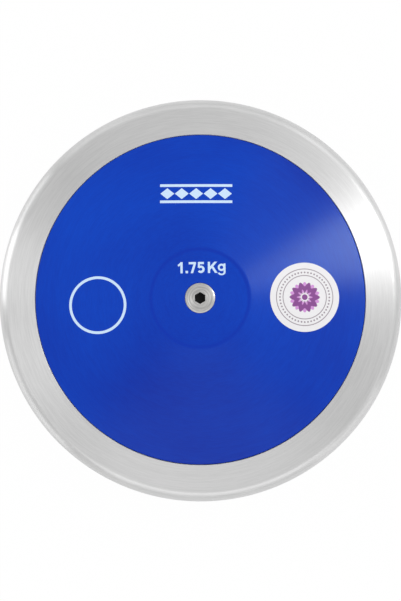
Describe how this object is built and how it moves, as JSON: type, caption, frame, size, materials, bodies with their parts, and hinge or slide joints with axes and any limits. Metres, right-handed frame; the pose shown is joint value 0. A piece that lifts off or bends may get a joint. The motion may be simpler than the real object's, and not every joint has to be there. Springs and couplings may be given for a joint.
{
  "type": "discus",
  "caption": "Competition discus: a brushed steel rim with a round edge, clamped between blue moulded side plates by countersunk centre screws, with a plain round label.",
  "frame": {"origin": "centre of the lower flat, where the lying discus rests", "axes": "+Z along the discus's axis, up through the labelled face; +X from the axis towards the round label, +Y to the top of the picture"},
  "size_m": [0.211, 0.211, 0.042],
  "materials": {
    "rim_steel": "satin",
    "blue_plastic": "satin",
    "screw_steel": "satin",
    "white_vinyl": "satin",
    "core_steel": "satin",
    "washer_steel": "satin",
    "pin_steel": "gloss",
    "black_rubber": "matte"
  },
  "bodies": {
    "root": {"steel_rim": "rim_steel", "threaded_core": "core_steel", "locating_pin_1": "pin_steel", "locating_pin_2": "pin_steel", "locating_pin_3": "pin_steel", "locating_pin_4": "pin_steel", "upper_side_plate": "blue_plastic", "upper_rim_gasket": "black_rubber", "upper_centre_screw": "screw_steel", "upper_trim_washer_1": "washer_steel", "upper_trim_washer_2": "washer_steel", "upper_packing_ring": "black_rubber", "round_label": "white_vinyl", "lower_side_plate": "blue_plastic", "lower_rim_gasket": "black_rubber", "lower_centre_screw": "screw_steel", "lower_trim_washer_1": "washer_steel", "lower_trim_washer_2": "washer_steel", "lower_packing_ring": "black_rubber"}
  },
  "joints": []
}
